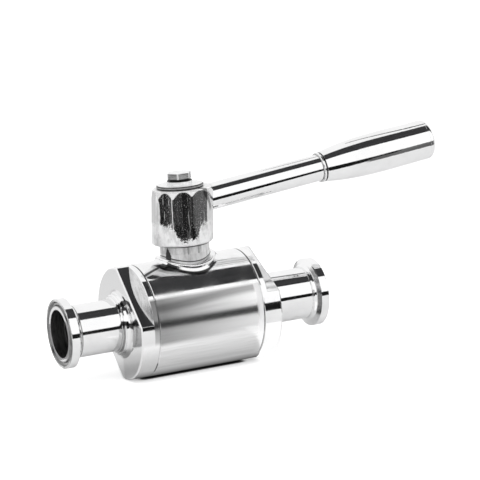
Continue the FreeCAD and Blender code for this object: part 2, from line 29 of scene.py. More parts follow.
# Camera. A long lens, a little above the valve and turned towards its left end, with the
# slight roll of the photograph. Its place was fitted to the rims, seams and washers.
CAMERA_AZIMUTH = math.radians(24.61)
CAMERA_ELEVATION = math.radians(10.61)
CAMERA_ROLL = math.radians(-4.2)
CAMERA_DISTANCE = 1.76317
CAMERA_OFFSET = (0.04046, 0.04962)
CAMERA_CLIP = (0.05, 50)
SENSOR_WIDTH = 36.0
FOCUS_PIXELS = 2417.43
PHOTO_PIXELS = 480

level = math.cos(CAMERA_ELEVATION)
backward = Vector((
    -math.sin(CAMERA_AZIMUTH) * level,
    -math.cos(CAMERA_AZIMUTH) * level,
    math.sin(CAMERA_ELEVATION),
))
flat_right = Vector((math.cos(CAMERA_AZIMUTH), -math.sin(CAMERA_AZIMUTH), 0))
flat_up = backward.cross(flat_right)
camera_right = math.cos(CAMERA_ROLL) * flat_right + math.sin(CAMERA_ROLL) * flat_up
camera_up = math.cos(CAMERA_ROLL) * flat_up - math.sin(CAMERA_ROLL) * flat_right
stand = CAMERA_OFFSET[0] * flat_right + CAMERA_OFFSET[1] * flat_up + CAMERA_DISTANCE * backward
camera = bpy.data.objects.new("photo_camera", bpy.data.cameras.new("photo_camera"))
camera.data.sensor_width = SENSOR_WIDTH
camera.data.lens = FOCUS_PIXELS / PHOTO_PIXELS * SENSOR_WIDTH
camera.data.clip_start, camera.data.clip_end = CAMERA_CLIP
camera.matrix_world = Matrix((
    (camera_right.x, camera_up.x, backward.x, stand.x),
    (camera_right.y, camera_up.y, backward.y, stand.y),
    (camera_right.z, camera_up.z, backward.z, stand.z),
    (0, 0, 0, 1),
))
scene.collection.objects.link(camera)
scene.camera = camera

# Table. A white sweep of paper that the drum rests on. It takes the valve's soft shadow and
# shows in the steel; to the camera it stays as white as the backdrop, but for a painted contact
# shadow: a dark strip under the drum's line of contact.
WHITE = (1, 1, 1, 1)
TABLE_HEIGHT = -0.0411
TABLE_HALF = 13.0
TABLE_WHITE = (0.93, 0.93, 0.93, 1)
TABLE_SHADE = (0.90, 0.90, 0.90, 1)
TABLE_LIFT = 0.48
PAPER_SCALE = 9.0
PAPER_DETAIL = 6.0
CONTACT_SHADOW_PAINT = (0.06, 0.06, 0.06, 1)
CONTACT_FRONT = (-0.0145, -0.0090)
CONTACT_BACK = (0.004, 0.008)
CONTACT_LEFT = (-0.050, -0.040)
CONTACT_RIGHT = (0.030, 0.040)


def new_material(name):
    """Start a node material and return it with its tree and output."""
    material = bpy.data.materials.new(name)
    material.use_nodes = True
    tree = material.node_tree
    tree.nodes.clear()
    return material, tree, tree.nodes.new("ShaderNodeOutputMaterial")


def feed(tree, value, socket):
    """Set a socket to a plain number or link it to another one."""
    if isinstance(value, (int, float, tuple)):
        socket.default_value = value
    else:
        tree.links.new(value, socket)


def maths(tree, operation, first, second=0.0):
    """Add one arithmetic node fed by sockets or plain numbers."""
    made = tree.nodes.new("ShaderNodeMath")
    made.operation = operation
    feed(tree, first, made.inputs[0])
    feed(tree, second, made.inputs[1])
    return made.outputs[0]


def product(tree, first, *others):
    """Multiply sockets and plain numbers, one after another."""
    for other in others:
        first = maths(tree, "MULTIPLY", first, other)
    return first


def ramp(tree, value, low, high, to_low=0.0, to_high=1.0, kind="SMOOTHSTEP"):
    """Add a ramp of a value from one range to another, smooth or straight."""
    made = tree.nodes.new("ShaderNodeMapRange")
    made.interpolation_type = kind
    labels = ("From Min", "From Max", "To Min", "To Max")
    for label, number in zip(labels, (low, high, to_low, to_high)):
        feed(tree, number, made.inputs[label])
    feed(tree, value, made.inputs["Value"])
    return made.outputs["Result"]


def fade(tree, value, low, high, start=1.0):
    """Add a ramp that falls to nothing."""
    return ramp(tree, value, low, high, start, 0.0)


def blend(tree, factor, first, second, kind="FLOAT"):
    """Mix two numbers or two colours."""
    made = tree.nodes.new("ShaderNodeMix")
    made.data_type = kind
    *inputs, result = {"FLOAT": (0, 2, 3, 0), "RGBA": (0, 6, 7, 2)}[kind]
    for place, value in zip(inputs, (factor, first, second)):
        feed(tree, value, made.inputs[place])
    return made.outputs[result]


def noise(tree, vector, scale, detail, roughness=0.5):
    """Add cloudy noise."""
    made = tree.nodes.new("ShaderNodeTexNoise")
    values = {"Vector": vector, "Scale": scale, "Detail": detail, "Roughness": roughness}
    for label, value in values.items():
        feed(tree, value, made.inputs[label])
    return made.outputs["Fac"]


def object_vector(tree):
    """Give a piece's own coordinates in metres."""
    return tree.nodes.new("ShaderNodeTexCoord").outputs["Object"]


def split(tree, vector):
    """Split coordinates into X, Y and Z."""
    parts = tree.nodes.new("ShaderNodeSeparateXYZ")
    tree.links.new(vector, parts.inputs[0])
    return tuple(parts.outputs)


def level_corners(height, *points):
    """Corners of a level card over points on the floor."""
    return [(x, y, height) for x, y in points]


def level_rectangle(height, left, right, front, back):
    """Corners of a level card with square corners."""
    return level_corners(height, (left, front), (right, front), (right, back), (left, back))


def card_mesh(name, corners):
    """Make a flat four-cornered card."""
    mesh = bpy.data.meshes.new(name)
    mesh.from_pydata([Vector(c) for c in corners], [], [(0, 1, 2, 3)])
    card = bpy.data.objects.new(name, mesh)
    scene.collection.objects.link(card)
    return card


table = card_mesh("table", level_rectangle(
    TABLE_HEIGHT, -TABLE_HALF, TABLE_HALF, -TABLE_HALF, TABLE_HALF))
material, tree, output = new_material("white_table")
where = object_vector(tree)
x, y, _ = split(tree, where)
fibre = noise(tree, where, PAPER_SCALE, PAPER_DETAIL)
paper = blend(tree, fibre, TABLE_WHITE, TABLE_SHADE, "RGBA")
# Painted contact shadow: the paper darkens, and loses its lift to the camera, under the drum.
ends = product(tree, ramp(tree, x, *CONTACT_LEFT), fade(tree, x, *CONTACT_RIGHT))
painted_contact_shadow = product(tree, ramp(tree, y, *CONTACT_FRONT), ends, fade(tree, y, *CONTACT_BACK))
matt = tree.nodes.new("ShaderNodeBsdfDiffuse")
tree.links.new(blend(tree, painted_contact_shadow, paper, CONTACT_SHADOW_PAINT, "RGBA"), matt.inputs["Color"])
path = tree.nodes.new("ShaderNodeLightPath")
open_floor = maths(tree, "SUBTRACT", TABLE_LIFT, painted_contact_shadow)
seen_lift = product(tree, path.outputs["Is Camera Ray"], open_floor)
lift = tree.nodes.new("ShaderNodeEmission")
lift.inputs["Color"].default_value = WHITE
tree.links.new(maths(tree, "MAXIMUM", seen_lift, 0.0), lift.inputs["Strength"])
both = tree.nodes.new("ShaderNodeAddShader")
tree.links.new(matt.outputs[0], both.inputs[0])
tree.links.new(lift.outputs[0], both.inputs[1])
tree.links.new(both.outputs[0], output.inputs["Surface"])
table.data.materials.append(material)

# Studio. One long softbox in front, a dark gap above it, a dark room below it past the
# table's front edge, and a light surround: these are what the polished steel mirrors.
# Smaller cards give the grey streaks and the dark bands on the caps and the handle.
SOFTBOX_Y = -0.590
SOFTBOX_LOW = 0.050
SOFTBOX_HIGH = 0.910
SOFTBOX_WHITE = 1.15
BEHIND_BOX = SOFTBOX_Y - 0.004
BEFORE_BOX = SOFTBOX_Y + 0.002
FLAG_TOP = 0.185
CEILING_BACK = 0.060
REACH = 2.2
ROOM_FLOOR = TABLE_HEIGHT + 0.001
RIGHT_FLOOR = TABLE_HEIGHT + 0.002
NEAR_FLOOR = TABLE_HEIGHT + 0.0012
FAR_LEFT = -1.600
FAR_LEFT_TOP = 0.140
BACK_WALL = 0.900
BACK_WALL_TOP = 0.120
BACK_FLOOR_FRONT = 0.600
CARD_BLACK = (0.010, 0.010, 0.010, 1)
CEILING_BLACK = (0.026, 0.026, 0.027, 1)
STREAKS_LEFT = (0.030, 0.030, 0.030, 1)
STREAKS_RIGHT = (0.060, 0.060, 0.060, 1)
STREAKS_FAR = (0.050, 0.050, 0.050, 1)
CARD_GREY = (0.105, 0.105, 0.105, 1)
FLAG_GREY = (0.12, 0.12, 0.12, 1)
FLOOR_GREY = (0.33, 0.33, 0.33, 1)
CLOTH_DETAIL = 4.0
CLOTH_FOLDS = (0.42, 0.80)


def upright_rectangle(start, end, low, high):
    """Corners of an upright card over the line between two points on the floor."""
    return [(*start, low), (*end, low), (*end, high), (*start, high)]


def studio_card(name, corners, colour, strength=1.0, cloth=None):
    """Hang a card that only mirror-like surfaces see, plain or of cloth (its stretch and lift)."""
    card = card_mesh(name, corners)
    material, tree, output = new_material(name)
    if cloth:
        stretch, lift = cloth
        mapping = tree.nodes.new("ShaderNodeMapping")
        mapping.inputs["Scale"].default_value = stretch
        tree.links.new(object_vector(tree), mapping.inputs["Vector"])
        weave = noise(tree, mapping.outputs["Vector"], 1.0, CLOTH_DETAIL)
        strength = ramp(tree, weave, *CLOTH_FOLDS, strength, strength * lift, "LINEAR")
    glow = tree.nodes.new("ShaderNodeEmission")
    glow.inputs["Color"].default_value = colour
    feed(tree, strength, glow.inputs["Strength"])
    tree.links.new(glow.outputs[0], output.inputs["Surface"])
    card.data.materials.append(material)
    card.visible_camera = False
    card.visible_diffuse = False
    card.visible_shadow = False
    card.visible_transmission = False
    return card


studio_card("front_softbox", upright_rectangle(
    (-REACH, SOFTBOX_Y), (REACH, SOFTBOX_Y), SOFTBOX_LOW, SOFTBOX_HIGH), WHITE, SOFTBOX_WHITE)
studio_card("dark_ceiling", level_rectangle(
    SOFTBOX_HIGH, -REACH, REACH, SOFTBOX_Y, CEILING_BACK), CEILING_BLACK, cloth=((320, 7, 1), 4.0))
studio_card("dark_under_softbox", upright_rectangle(
    (-REACH, BEHIND_BOX), (REACH, BEHIND_BOX), TABLE_HEIGHT, SOFTBOX_LOW), CARD_BLACK)
studio_card("dark_front_room", level_corners(
    ROOM_FLOOR, (-1.6, SOFTBOX_Y), (0.62, SOFTBOX_Y), (0.165, -0.235), (-0.9, -0.42)), CARD_BLACK)
studio_card("grey_streaks_left", upright_rectangle(
    (-0.420, BEFORE_BOX), (-0.290, BEFORE_BOX), TABLE_HEIGHT, SOFTBOX_LOW),
    STREAKS_LEFT, cloth=((60, 1, 4), 5.0))
studio_card("grey_streaks_right", upright_rectangle(
    (-0.150, BEFORE_BOX), (0.080, BEFORE_BOX), TABLE_HEIGHT, SOFTBOX_LOW),
    STREAKS_RIGHT, cloth=((50, 1, 4), 2.5))
studio_card("black_front_left", upright_rectangle(
    (-0.460, BEFORE_BOX), (-0.050, BEFORE_BOX), SOFTBOX_LOW, FLAG_TOP), CARD_BLACK)
studio_card("grey_right_table", level_corners(
    RIGHT_FLOOR, (0.405, SOFTBOX_Y), (0.950, SOFTBOX_Y), (0.800, -0.150), (0.270, -0.260)),
    CARD_GREY, cloth=((40, 14, 1), 2.2))
studio_card("grey_right_front", upright_rectangle(
    (0.500, BEFORE_BOX), (1.150, BEFORE_BOX), TABLE_HEIGHT, SOFTBOX_LOW),
    CARD_GREY, cloth=((40, 1, 10), 2.2))
studio_card("black_far_left", upright_rectangle(
    (FAR_LEFT, 0.020), (FAR_LEFT, 0.480), TABLE_HEIGHT, FAR_LEFT_TOP), CARD_BLACK)
studio_card("grey_far_left", upright_rectangle(
    (FAR_LEFT, -0.300), (FAR_LEFT, 0.020), TABLE_HEIGHT, FAR_LEFT_TOP),
    STREAKS_FAR, cloth=((1, 70, 70), 5.0))
studio_card("dark_left_room", level_corners(
    ROOM_FLOOR, (-0.40, 0.190), (-0.56, -0.060), (-1.60, -0.170), (-1.60, 0.700)), CARD_BLACK)
studio_card("thin_flag", level_corners(
    SOFTBOX_HIGH, (0.400, 0.560), (0.430, 0.660), (0.600, 0.240), (0.570, 0.140)), FLAG_GREY)
studio_card("white_floor_by_cap", level_corners(
    NEAR_FLOOR, (0.046, -0.080), (0.080, -0.080), (0.076, -0.004), (0.046, -0.004)),
    WHITE, SOFTBOX_WHITE)
for side, inner, outer in (("left", -0.75, -2.2), ("right", 0.66, 2.2)):
    studio_card("dark_back_room_" + side, upright_rectangle(
        (inner, BACK_WALL), (outer, BACK_WALL), TABLE_HEIGHT, BACK_WALL_TOP), CARD_BLACK)
    studio_card("grey_back_floor_" + side, level_rectangle(
        ROOM_FLOOR, inner, outer, BACK_FLOOR_FRONT, BACK_WALL),
        CARD_GREY, cloth=((9, 2, 1), 2.5))
studio_card("grey_floor_behind_left", level_rectangle(
    NEAR_FLOOR, -0.070, -0.320, 0.085, 0.210), FLOOR_GREY)

# Lit floor. One more card, on the table in front of the drum, that glows brightly near the
# camera and less towards the drum's line of contact, a painted contact shadow for the steel to
# mirror; its left and front edges are soft.
LIT_FLOOR = TABLE_HEIGHT + 0.0008
LIT_LEFT = (-0.056, -0.050)
LIT_FRONT = (-0.080, -0.066)
LIT_RIGHT = 0.048
LIT_BACK = 0.020
LIT_FAR = (-0.064, -0.020, 1.02, 0.50)
LIT_SHADOW_NEAR = (-0.022, -0.0085, 0.0, 0.49)


def mix_shaders(tree, factor, first, second):
    """Mix two shaders."""
    made = tree.nodes.new("ShaderNodeMixShader")
    for value, socket in zip((factor, first, second), made.inputs):
        tree.links.new(value, socket)
    return made.outputs[0]


lit_floor = studio_card("lit_floor", level_rectangle(
    LIT_FLOOR, LIT_LEFT[0], LIT_RIGHT, LIT_FRONT[0], LIT_BACK), WHITE)
tree = lit_floor.data.materials[0].node_tree
glow = tree.nodes["Emission"]
x, y, _ = split(tree, object_vector(tree))
# Painted contact shadow: the glow falls off towards the drum's line of contact.
far = ramp(tree, y, *LIT_FAR, "LINEAR")
painted_glow_shadow = ramp(tree, y, *LIT_SHADOW_NEAR, "LINEAR")
tree.links.new(maths(tree, "SUBTRACT", far, painted_glow_shadow), glow.inputs["Strength"])
inside = product(tree, ramp(tree, x, *LIT_LEFT), ramp(tree, y, *LIT_FRONT))
clear = tree.nodes.new("ShaderNodeBsdfTransparent")
faded = mix_shaders(tree, inside, clear.outputs[0], glow.outputs[0])
tree.links.new(faded, tree.nodes["Material Output"].inputs["Surface"])

# Room. A white surround, a little brighter in the steel's mirror than for the matt table, and
# plain white to the camera; one soft key light hangs in front, high on the left.
SURROUND = 1.03
ROOM_LIGHT = 0.72
KEY_SIZE = (1.2, 0.9)
KEY_ENERGY = 9.0
KEY_PLACE = (-0.35, -0.75, 1.25)

world = bpy.data.worlds.new("white_room")
scene.world = world
world.use_nodes = True
tree = world.node_tree
tree.nodes.clear()
backdrops = []
for strength in (ROOM_LIGHT, SURROUND, 1.0):
    backdrop = tree.nodes.new("ShaderNodeBackground")
    backdrop.inputs["Color"].default_value = WHITE
    backdrop.inputs["Strength"].default_value = strength
    backdrops.append(backdrop.outputs[0])
room, mirrored, plain_white = backdrops
path = tree.nodes.new("ShaderNodeLightPath").outputs
seen = maths(tree, "MAXIMUM", path["Is Camera Ray"], path["Is Transmission Ray"])
in_mirror = mix_shaders(tree, path["Is Glossy Ray"], room, mirrored)
in_view = mix_shaders(tree, seen, in_mirror, plain_white)
output = tree.nodes.new("ShaderNodeOutputWorld")
tree.links.new(in_view, output.inputs["Surface"])

key = bpy.data.objects.new("soft_key", bpy.data.lights.new("soft_key", "AREA"))
key.data.shape = "RECTANGLE"
key.data.size, key.data.size_y = KEY_SIZE
key.data.energy = KEY_ENERGY
key.location = KEY_PLACE
key.rotation_euler = (-Vector(key.location)).to_track_quat("-Z", "Y").to_euler()
key.visible_glossy = False
scene.collection.objects.link(key)

# Polished steel. Tubes, ball, rod and grip are stainless steel, turned and then buffed to a
# mirror; faint buffing haze and turning marks keep the mirror from being perfect. The bore is
# rougher, and painted shade darkens it and the corners on both sides of the grip's ring.
BUFFED_TONE = 0.90
HAZE_DROP = 0.05
HAZE_SCALE = 55.0
HAZE_DETAIL = 5.0
HAZE_ROUGHNESS = 0.62
HAZE_LIMITS = (0.38, 0.68)
TURNING_PITCH = 0.0006
TURNING_DETAIL = 3.0
TURNING_HEIGHT = 0.0001
GRAIN_DETAIL = 4.0
GRAIN_ROUGHNESS = 0.7
GRAIN_LIMITS = (0.34, 0.60)
STEEL_WHITE = (1.0, 1.0, 1.003, 1)
BLACK = (0.0, 0.0, 0.0, 1)
EDGE_SOFTNESS = 0.0005
EDGE_SAMPLES = 4
BORE_EDGE = (0.0174 + 0.0001, 0.0174 + 0.0003)
HANDLE_RISE = math.radians(6.07)
RING_GROOVE = (0.12375, 0.10)  # its place along the handle, and its tone
RING_FOOT = (0.12105, 0.55)
RING_LINE = (0.0002, 0.0005)


def group_of(name, inputs, outputs):
    """Start a shader node group; return it with its inner inputs and outputs."""
    group = bpy.data.node_groups.new(name, "ShaderNodeTree")
    for label, kind in inputs:
        group.interface.new_socket(label, in_out="INPUT", socket_type=kind)
    for label, kind in outputs:
        group.interface.new_socket(label, in_out="OUTPUT", socket_type=kind)
    start = group.nodes.new("NodeGroupInput")
    end = group.nodes.new("NodeGroupOutput")
    return group, start.outputs, end.inputs


def line_noise(tree, along, scale, detail):
    """Add noise that changes along one value only."""
    made = tree.nodes.new("ShaderNodeTexNoise")
    made.noise_dimensions = "1D"
    made.inputs["Scale"].default_value = scale
    made.inputs["Detail"].default_value = detail
    tree.links.new(along, made.inputs["W"])
    return made.outputs["Fac"]


def bump(tree, height, strength, reach, normal):
    """Raise a surface by a height and return its normal."""
    made = tree.nodes.new("ShaderNodeBump")
    values = {"Height": height, "Strength": strength, "Distance": reach, "Normal": normal}
    for label, value in values.items():
        feed(tree, value, made.inputs[label])
    return made.outputs["Normal"]


buffing, start, end = group_of(
    "buffing_haze",
    [("Vector", "NodeSocketVector"), ("Scale", "NodeSocketFloat"), ("Low", "NodeSocketFloat"),
     ("High", "NodeSocketFloat")],
    [("Roughness", "NodeSocketFloat"), ("Haze", "NodeSocketFloat")],
)
cloud = noise(buffing, start["Vector"], start["Scale"], HAZE_DETAIL, HAZE_ROUGHNESS)
haze = ramp(buffing, cloud, *HAZE_LIMITS)
span = maths(buffing, "SUBTRACT", start["High"], start["Low"])
rough = maths(buffing, "ADD", product(buffing, haze, span), start["Low"])
buffing.links.new(rough, end["Roughness"])
buffing.links.new(haze, end["Haze"])

turning, start, end = group_of(
    "turning_marks",
    [("Vector", "NodeSocketVector"), ("Depth", "NodeSocketFloat"), ("Edges", "NodeSocketVector")],
    [("Normal", "NodeSocketVector")],
)
along = maths(turning, "DIVIDE", split(turning, start["Vector"])[0], TURNING_PITCH)
rings = line_noise(turning, along, 1.0, TURNING_DETAIL)
turned = bump(turning, rings, start["Depth"], TURNING_HEIGHT, start["Edges"])
turning.links.new(turned, end["Normal"])

grain, start, end = group_of(
    "steel_grain",
    [("Vector", "NodeSocketVector"), ("Stretch", "NodeSocketVector"),
     ("Contrast", "NodeSocketFloat")],
    [("Tone", "NodeSocketFloat"), ("Patch", "NodeSocketFloat")],
)
stretch = grain.nodes.new("ShaderNodeVectorMath")
stretch.operation = "MULTIPLY"
grain.links.new(start["Vector"], stretch.inputs[0])
grain.links.new(start["Stretch"], stretch.inputs[1])
fine = noise(grain, stretch.outputs[0], 1.0, GRAIN_DETAIL, GRAIN_ROUGHNESS)
drop = ramp(grain, fine, *GRAIN_LIMITS, start["Contrast"], 0.0)
grain.links.new(fine, end["Patch"])
grain.links.new(maths(grain, "SUBTRACT", 1.0, drop), end["Tone"])


def own_vector(tree, rotation=(0, 0, 0)):
    """Give a piece's own coordinates, turned so that X runs along it."""
    turn = tree.nodes.new("ShaderNodeMapping")
    turn.vector_type = "POINT"
    turn.inputs["Rotation"].default_value = rotation
    tree.links.new(object_vector(tree), turn.inputs["Vector"])
    return turn.outputs["Vector"]


def across(tree, first, second):
    """Distance from an axis, from the two coordinates across it."""
    square = maths(tree, "ADD", product(tree, first, first), product(tree, second, second))
    return maths(tree, "SQRT", square)


def distance(tree, value, middle):
    """How far a value is from a middle one."""
    return maths(tree, "ABSOLUTE", maths(tree, "SUBTRACT", value, middle))


def use_group(tree, group, vector, **values):
    """Place a shared effect in a material with its own values."""
    made = tree.nodes.new("ShaderNodeGroup")
    made.node_tree = group
    tree.links.new(vector, made.inputs["Vector"])
    for label, number in values.items():
        feed(tree, number, made.inputs[label])
    return made.outputs


def grained(tree, vector, stretch, contrast=1.0):
    """Stretched grain: its tone, and its bare pattern as a patch."""
    return use_group(tree, grain, vector, Stretch=stretch, Contrast=contrast)


def soft_edges(tree, radius=EDGE_SOFTNESS):
    """Round the corners of a piece in its shading."""
    made = tree.nodes.new("ShaderNodeBevel")
    made.samples = EDGE_SAMPLES
    made.inputs["Radius"].default_value = radius
    return made.outputs["Normal"]


def steel(tree, output, tone, roughness, normal, metallic=1.0):
    """Finish a steel material from its brightness, roughness and normal."""
    surface = tree.nodes.new("ShaderNodeBsdfPrincipled")
    tree.links.new(blend(tree, tone, BLACK, STEEL_WHITE, "RGBA"), surface.inputs["Base Color"])
    feed(tree, metallic, surface.inputs["Metallic"])
    feed(tree, roughness, surface.inputs["Roughness"])
    tree.links.new(normal, surface.inputs["Normal"])
    tree.links.new(surface.outputs[0], output.inputs["Surface"])


def mark(mask, tone, rough, metal=1.0):
    """One duller part, or painted light or shade, of a polished piece: where it is, how it looks.
    """
    return mask, tone, rough, metal


def polished_steel(name, dull, rotation=(0, 0, 0), low=0.035, high=0.09, depth=0.04):
    """Mirror-buffed steel; dull gives the marks of its duller parts and of painted light and
    shade.
    """
    material, tree, output = new_material(name)
    vector = own_vector(tree, rotation)
    haze = use_group(tree, buffing, vector, Scale=HAZE_SCALE, Low=low, High=high)
    turned = use_group(tree, turning, vector, Depth=depth, Edges=soft_edges(tree))
    tone = maths(tree, "SUBTRACT", BUFFED_TONE, product(tree, haze["Haze"], HAZE_DROP))
    roughness = haze["Roughness"]
    metallic = 1.0
    for mask, dull_tone, dull_rough, metal in dull(tree, vector):
        tone = blend(tree, mask, tone, dull_tone)
        roughness = blend(tree, mask, roughness, dull_rough)
        if metal != 1.0:
            metallic = blend(tree, mask, metallic, metal)
    steel(tree, output, tone, roughness, turned["Normal"], metallic)
    return material


def painted_bore_shade(tree, vector):
    """Painted shade inside the bore, which is also rougher than the buffed outside."""
    _, y, z = split(tree, vector)
    inside = fade(tree, across(tree, y, z), *BORE_EDGE)
    bore_grain = grained(tree, vector, (900.0, 120.0, 120.0), 0.4)
    return [mark(inside, tone=product(tree, bore_grain["Tone"], 0.42), rough=0.30)]


def painted_ring_shade(tree, vector):
    """Painted shade in the groove behind the grip's ring and at the ring's foot."""
    along = split(tree, vector)[0]
    return [mark(fade(tree, distance(tree, along, middle), *RING_LINE), tone=tone, rough=0.20)
            for middle, tone in (RING_GROOVE, RING_FOOT)]


def dress(material, *names):
    """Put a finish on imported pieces."""
    for name in names:
        slots = node[name].data.materials
        slots.clear()
        slots.append(material)


dress(polished_steel("polished_tube_steel", painted_bore_shade),
      "stub_tube_left", "stub_tube_right", "ball")
dress(polished_steel("polished_handle_steel", painted_ring_shade, rotation=(0, HANDLE_RISE, 0)),
      "handle_rod", "grip_ring", "handle_grip", "grip_end_cap")

# Ferrules. Turned from bar: the clamp face is finely faced and greyer than the polished rim,
# with a bright lip around the bore. Painted shade darkens the rougher gasket groove and the bevel
# behind the rim, most of all low down, with a painted dark reflection along the bevel's top, and
# a thin dark line of painted shadow lies where the rim meets the tube.
FACE_AT = 0.1020
FACE_EDGE = (FACE_AT - 0.0017, FACE_AT - 0.0012)
LIP_EDGE = (0.0196 - 0.0002, 0.0196 + 0.0002)
RIM_EDGE = (0.0249, 0.0252)
GROOVE_MIDDLE = 0.02175
GROOVE_EDGE = (0.0018 - 0.0003, 0.0018)
TOOL_SCALE = 1.1
TOOL_DETAIL = 2.0
TOOL_LIMITS = (0.36, 0.62)
TOOL_TONES = (0.34, 0.92)
THROAT_SHADOW_AT = 0.0919
THROAT_SHADOW_EDGE = (0.0003, 0.0006)
THROAT_SHADOW_OUTSIDE = (0.0182, 0.0184)
THROAT_SHADOW_SIDES = (-0.01, 0.01)
BEVEL_INNER = (0.0212, 0.0215)
BEVEL_BACK = (0.0957, 0.0959)
BEVEL_BOTTOM = (-0.0150, -0.0120)
BEVEL_TOP = (0.0170, 0.0215)
BEVEL_RISE = (0.004, 0.010)
BEVEL_FALL = (0.010, 0.017)
BRINK_INNER = (0.0240, 0.0244)
BRINK_BOTTOM = (0.0155, 0.0170)
BRINK_TOP = (0.0205, 0.0220)


def front_angle(tree, y, z):
    """Angle around the flow line: nothing at the front, a quarter turn at the top."""
    return maths(tree, "ARCTAN2", z, product(tree, y, -1.0))


def face_finish_and_shade(tree, vector):
    """Clamp face marks; painted shade in the groove, on the bevel behind the rim and at the tube.
    """
    x, y, z = split(tree, vector)
    radius = across(tree, y, z)
    end = maths(tree, "ABSOLUTE", x)
    faced = product(tree, ramp(tree, end, *FACE_EDGE), ramp(tree, radius, *LIP_EDGE),
                    fade(tree, radius, *RIM_EDGE))
    # Painted shade in the gasket groove.
    groove = fade(tree, distance(tree, radius, GROOVE_MIDDLE), *GROOVE_EDGE)
    groove = product(tree, groove, faced)
    texture = grained(tree, vector, (60.0, 160.0, 160.0), 0.35)["Tone"]
    tool = line_noise(tree, front_angle(tree, y, z), TOOL_SCALE, TOOL_DETAIL)
    face_tone = product(tree, texture, ramp(tree, tool, *TOOL_LIMITS, *TOOL_TONES))
    # Painted shadow: a thin dark line where the rim meets the tube, fainter on the right.
    throat_shadow = product(
        tree, fade(tree, distance(tree, end, THROAT_SHADOW_AT), *THROAT_SHADOW_EDGE),
        ramp(tree, radius, *THROAT_SHADOW_OUTSIDE), ramp(tree, x, *THROAT_SHADOW_SIDES, 1.0, 0.15))
    # Painted shade on the bevel behind the rim; the brink is a painted dark reflection.
    behind = product(tree, ramp(tree, radius, *BEVEL_INNER), fade(tree, end, *BEVEL_BACK))
    brink = product(tree, behind, ramp(tree, radius, *BRINK_INNER),
                    ramp(tree, z, *BRINK_BOTTOM), fade(tree, z, *BRINK_TOP))
    bevel = product(tree, behind, ramp(tree, z, *BEVEL_BOTTOM), fade(tree, z, *BEVEL_TOP))
    bevel_tone = maths(tree, "MINIMUM", ramp(tree, z, *BEVEL_RISE, 0.28, 0.80),
                       ramp(tree, z, *BEVEL_FALL, 0.80, 0.50))
    return painted_bore_shade(tree, vector) + [
        mark(faced, tone=face_tone, rough=0.20),
        mark(groove, tone=product(tree, texture, 0.26), rough=0.30),
        mark(throat_shadow, tone=0.30, rough=0.30),
        mark(bevel, tone=product(tree, texture, bevel_tone), rough=0.22),
        mark(brink, tone=0.12, rough=0.22),
    ]


dress(polished_steel("ferrule_steel", face_finish_and_shade), "ferrule_left", "ferrule_right")

# End caps. Screwed into the drum and polished, but for the run-out behind each flat, which
# keeps its turned finish, and the faced end. The joint holds a dark line with a painted
# highlight beside it, and painted dark reflections grey the corners around the left cap's collar.
CAP_END = 0.0556
CAP_FACE_EDGE = (CAP_END - 0.0002, CAP_END - 0.0001)
CAP_FACE_INNER = (0.0225, 0.0228)
SHOULDER_SUM = 0.0410 + 2 * 0.0454
SHOULDER_EDGE = (0.0001, 0.0004)
SHOULDER_START = (0.0456, 0.0458)
SEAM_AT = 0.0412
SEAM_EDGE = (0.0003, 0.0006)
SEAM_TOP = (0.021, 0.026)
SEAM_LEFT_START = (-0.0345, -0.0325)
SEAM_LEFT_END = (-0.0270, -0.0250)
SEAM_LEFT_SIDE = (-0.010, 0.0, 0.8)
SEAM_RIGHT_FAINT = (-0.034, -0.030, 0.0, 0.30)
SEAM_RIGHT_DARK = (-0.016, -0.009, 0.0, 0.45)
SEAM_RIGHT_END = (0.002, 0.006)
SEAM_RIGHT_SIDE = (0.0, 0.010)
FRONT_SIDE = (-0.004, 0.0)
SEAM_HIGHLIGHT_AT = 0.0005
SEAM_HIGHLIGHT_EDGE = (0.0001, 0.0003)
SEAM_HIGHLIGHT_START = (0.0215, 0.0230)
SEAM_HIGHLIGHT_END = (0.0325, 0.0345)
SEAM_HIGHLIGHT_FRONT = (-0.002, 0.002)
RUBBED_START = (math.radians(-17), math.radians(-11))
RUBBED_END = (math.radians(29.1), math.radians(33.1))
RUBBED_SHADE = (math.radians(-13), math.radians(20))
RUBBED_ALONG = (-0.0458, -0.0450)
RUBBED_RIM = (0.0398, 0.0402)
OUTSIDE_ALONG = (-CAP_END, -CAP_END + 0.0002)
OUTSIDE_TUBE = (0.0188, 0.0189)
COLLAR_RADIUS = 0.0250
COLLAR_RIM = (COLLAR_RADIUS, 0.0254)
FACE_INNER = (COLLAR_RADIUS, 0.0256)
UPPER_AT = math.radians(51)
UPPER_EDGE = (0.08, 0.12)
LOWER_AT = 0.0045
LOWER_EDGE = (0.0012, 0.0022)
LOWER_END = (0.035, 0.038)
LOWER_DIP = (0.0010, 0.0035, 0.0024)
SLANT = 0.2315
BLOCK_BOTTOM = (-0.0187, -0.0180)
BLOCK_TOP = (0.0030, 0.0045)
LOW_FACE_TOP = (-0.0260, -0.0187)
STEP_BACK = (-0.0598, -0.0594)
STEP_TOP = (0.0010, 0.0035)
UNDER_TOP = (-0.0185, -0.0135)


